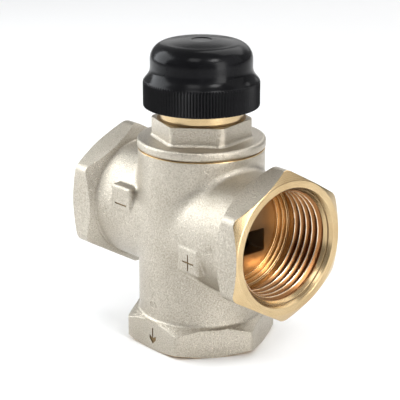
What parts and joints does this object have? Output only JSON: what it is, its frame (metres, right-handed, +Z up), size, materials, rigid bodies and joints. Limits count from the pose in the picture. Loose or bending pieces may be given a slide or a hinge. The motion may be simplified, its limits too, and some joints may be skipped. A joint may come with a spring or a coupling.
{
  "type": "three way valve",
  "caption": "Three-way mixing valve with internally threaded side ports, a bottom outlet, a screwed-in bonnet with a sprung stem, and a screw-on black hand cap.",
  "frame": {"origin": "centre of the bottom port's face, on the valve's upright axis", "axes": "+Z up along the stem, +X out of the hot port, -X out of the cold port"},
  "size_m": [0.0732, 0.0388, 0.089],
  "materials": {
    "nickel": "sand-blasted nickel plate on cast brass",
    "brass": "bare machined brass",
    "steel": "turned stainless steel",
    "cap_plastic": "glossy moulded plastic",
    "dark_plastic": "matt moulded plastic",
    "rubber": "moulded rubber"
  },
  "bodies": {
    "casing": {"body": "nickel", "hot_seat_ring": "brass", "shutter_o_ring": "rubber", "bonnet": "nickel", "bonnet_o_ring": "rubber", "cold_seat_ring": "brass", "stem_guide": "brass", "spring_seat": "steel", "return_spring": "steel", "gland_nut": "brass", "gland_seal": "rubber", "gland_o_ring_lower": "rubber", "gland_o_ring_upper": "rubber", "gland_spacer": "brass", "gland_washer": "brass"},
    "stem": {"stem": "steel", "spring_retainer": "steel", "retaining_clip": "steel", "shutter_sleeve": "dark_plastic", "upper_seal": "rubber", "lower_seal": "rubber", "stem_washer": "steel", "stem_nut": "steel"},
    "pin": {"thrust_pin": "cap_plastic"},
    "cap": {"cap": "cap_plastic"}
  },
  "joints": [
    {"name": "stem_travel", "type": "slide", "parent": "casing", "child": "stem", "axis": [0, 0, 1], "range_m": [-0.004, 0], "stiffness_N_per_m": 6000, "springref_m": 0.004, "deforming": ["return_spring"]},
    {"name": "cap_lift", "type": "slide", "parent": "casing", "child": "pin", "axis": [0, 0, 1], "range_m": [0, 0.00675]},
    {"name": "cap_turn", "type": "hinge", "parent": "pin", "child": "cap", "pos_m": [0, 0, 0.08], "axis": [0, 0, 1], "range_deg": [0, 1620]}
  ],
  "couplings": [
    {"joint": "cap_lift", "follows": "cap_turn", "m_per_rad": 0.00023873}
  ]
}
